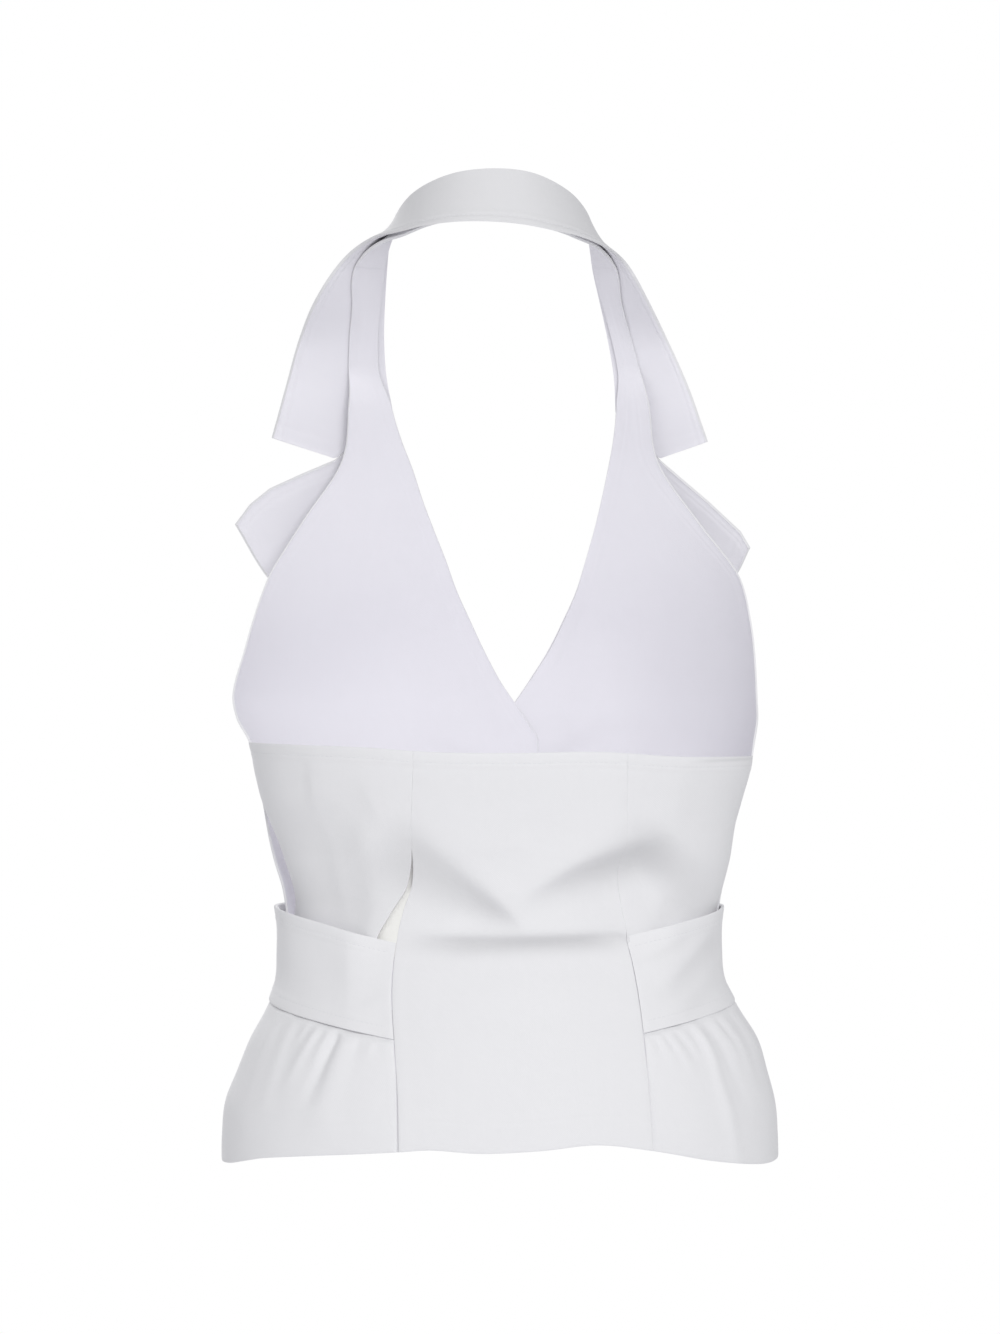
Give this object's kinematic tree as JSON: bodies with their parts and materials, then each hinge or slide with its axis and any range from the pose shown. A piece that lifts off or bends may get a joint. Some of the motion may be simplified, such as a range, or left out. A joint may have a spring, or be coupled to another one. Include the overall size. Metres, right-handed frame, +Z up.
{
  "type": "halter neck top",
  "caption": "Backless halter top cut like a waistcoat, with notched lapels, a collar round the nape, a wide waist belt and a gathered peplum, in its worn shape.",
  "frame": {"origin": "inner face of the collar stand at centre back, half way up it, where the nape of the neck carries the garment", "axes": "+Z up along the body, -Y the way the wearer faces, +X towards the wearer's left"},
  "size_m": [0.3172, 0.2321, 0.5595],
  "materials": {
    "shell_cloth": "matt woven cotton, single cloth",
    "doubled_cloth": "matt woven cotton, doubled and pressed",
    "buttons": "soft gloss"
  },
  "bodies": {
    "root": {"centre_back": "shell_cloth", "side_back_left": "shell_cloth", "side_back_right": "shell_cloth", "front_left": "shell_cloth", "front_right": "shell_cloth", "peplum_left": "shell_cloth", "peplum_right": "shell_cloth", "belt_left": "doubled_cloth", "belt_right": "doubled_cloth", "lapel_left": "doubled_cloth", "lapel_right": "doubled_cloth", "collar_fall": "doubled_cloth", "collar_stand": "doubled_cloth", "button_top": "buttons", "button_middle": "buttons", "button_belt": "buttons"}
  },
  "joints": []
}
